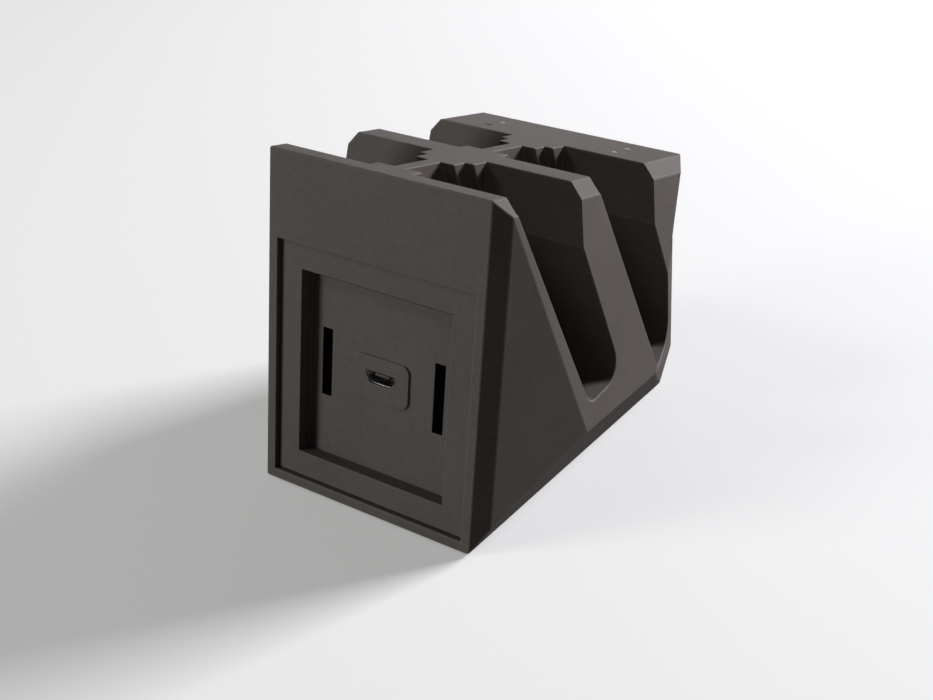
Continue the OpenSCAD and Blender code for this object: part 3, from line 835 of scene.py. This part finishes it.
def lens_profile(radius, length):
    """A small lens with a domed head, level with the top that it sits in."""
    dome, steps = 0.14 * MM, 7
    quarter = [math.pi / 2 * i / steps for i in range(steps)]
    head = [(radius * math.cos(a), length - dome + dome * math.sin(a)) for a in quarter]
    return [(0, 0), (radius * 0.85, 0), (radius, 0.15 * MM)] + head + [(0, length)]


def make_lamps():
    """Four surface-mounted lamps: a stepped body with a recess under its lens."""
    lamps = solids_in("lamps")
    (_, depth), (wide, width), (upward, height) = box_axes(lamps[0], UP)
    # each tier's width, depth and level, as shares of the lamp's own
    tiers = [(0.92, 0.96, 0), (1, 1, 0.04), (1, 1, 0.45), (0.9, 1, 0.5), (0.86, 0.94, 0.97),
             (0.82, 0.9, 1), (0.6, 0.6, 1), (0.5, 0.5, 0.85)]
    square = ((-1, -1), (1, -1), (1, 1), (-1, 1))
    form = skin([[(x * width / 2 * share_w, y * depth / 2 * share_d, height * level)
                  for x, y in square] for share_w, share_d, level in tiers])
    item = new_piece("lamp item", form, lamp_body)
    places = [middle_of(lamp) - upward * height / 2 for lamp in lamps]
    grid_of("indicator_lamps", item, places, turn_to(wide, upward), lamp_body,
            "lamps")


for index in (1, 2, 3, 4):
    make_bay_springs(index)
make_screws("base_cover_screws", "cover_screws")
make_screws("main_board_screws", "board_screws")
for index in (1, 2, 3, 4):
    place_round(f"rubber_foot_{index}", f"foot_{index}", foot_profile, foot_rubber)
    place_round(f"indicator_lens_{index}", f"lens_{index}", lens_profile,
                smoked_resin if index == 1 else milky_resin)
make_lamps()
for node_name in ("socket_board", "riser_board", "main_board", "lamp_board"):
    rounded_copy(node_name, f"{node_name}_trimmed", 0.06 * MM, board_lacquer,
                 segments=1)
rounded_copy("socket_cable", "socket_ribbon", 0.12 * MM, black_nylon, segments=2)


# ---------------------------------------------------------------------------
# Floor, light and camera
# ---------------------------------------------------------------------------

FLOOR_REACH = 4.0
FLOOR_GLOW = 0.25  # seen by the camera alone
WORLD_SEEN = 0.82  # brightness of the world to the camera
WORLD_LIGHT = 0.05  # its brightness as a light on the dock
DOCK_MIDDLE = Vector((0.0, 0.0, 0.035))

# Name, place, width and height, power in watts, tint
SOFTBOXES = [
    ("rear left box", (-0.600, -0.797, 0.155), (0.30, 0.22), 4.4, (1.0, 0.985, 0.965)),
    ("front right box", (0.675, 1.270, 0.735), (0.48, 0.48), 38.0, (0.985, 0.97, 1.02)),
    ("front left box", (-0.82, 1.37, 0.24), (0.48, 0.35), 1.6, WHITE),
    ("overhead box", (-0.61, -0.55, 0.86), (0.25, 0.25), 1.5, WHITE),
]


def make_floor():
    """A pale floor, which looks paler to the camera than it does to the dock."""
    mesh = bpy.data.meshes.new("studio_floor")
    reach = FLOOR_REACH
    mesh.from_pydata([(-reach, -reach, 0), (reach, -reach, 0), (reach, reach, 0),
                      (-reach, reach, 0)], [], [(0, 1, 2, 3)])
    material = bpy.data.materials.new("studio floor")
    material.use_nodes = True
    tree = material.node_tree
    shader = tree.nodes["Principled BSDF"]
    shader.inputs["Roughness"].default_value = 0.85
    shader.inputs["Emission Color"].default_value = (*WHITE, 1.0)
    seen = add_node(tree, "ShaderNodeLightPath").outputs["Is Camera Ray"]
    tree.links.new(mixed(tree, seen, FLOOR_SHADE, FLOOR_PALE), shader.inputs["Base Color"])
    tree.links.new(maths(tree, "MULTIPLY", seen, FLOOR_GLOW), shader.inputs["Emission Strength"])
    mesh.materials.append(material)
    new_object("studio_floor", mesh)


def make_world():
    """An even surround, which is bright to the camera and dim as a light."""
    world = bpy.data.worlds.new("studio")
    bpy.context.scene.world = world
    world.use_nodes = True
    tree = world.node_tree
    background = tree.nodes["Background"]
    background.inputs["Color"].default_value = (*WHITE, 1.0)
    seen = add_node(tree, "ShaderNodeLightPath").outputs["Is Camera Ray"]
    added = maths(tree, "MULTIPLY", seen, WORLD_SEEN - WORLD_LIGHT)
    tree.links.new(maths(tree, "ADD", added, WORLD_LIGHT), background.inputs["Strength"])


def make_softbox(name, place, size, power, tint):
    """A rectangular lamp that faces the middle of the dock."""
    lamp = bpy.data.lights.new(name, "AREA")
    lamp.color = tint
    lamp.shape = "RECTANGLE"
    lamp.size, lamp.size_y = size
    lamp.energy = power
    box = new_object(name, lamp)
    box.location = place
    box.rotation_euler = (DOCK_MIDDLE - Vector(place)).to_track_quat("-Z", "Y").to_euler()


def make_camera():
    """The camera that matches the photograph."""
    camera = bpy.data.cameras.new("photo camera")
    camera.lens = CAMERA_LENS
    camera.sensor_width = SENSOR_WIDTH
    camera.sensor_fit = "HORIZONTAL"
    camera.clip_start = 0.01
    viewer = new_object("photo camera", camera)
    right, down, forward = Vector(CAMERA_RIGHT), Vector(CAMERA_DOWN), Vector(CAMERA_FORWARD)
    turn = Matrix((right, -down, -forward)).transposed()
    viewer.matrix_world = Matrix.Translation(CAMERA_PLACE) @ turn.to_4x4()
    bpy.context.scene.camera = viewer


make_floor()
make_world()
for softbox in SOFTBOXES:
    make_softbox(*softbox)
make_camera()
bpy.context.scene.view_settings.view_transform = "Standard"
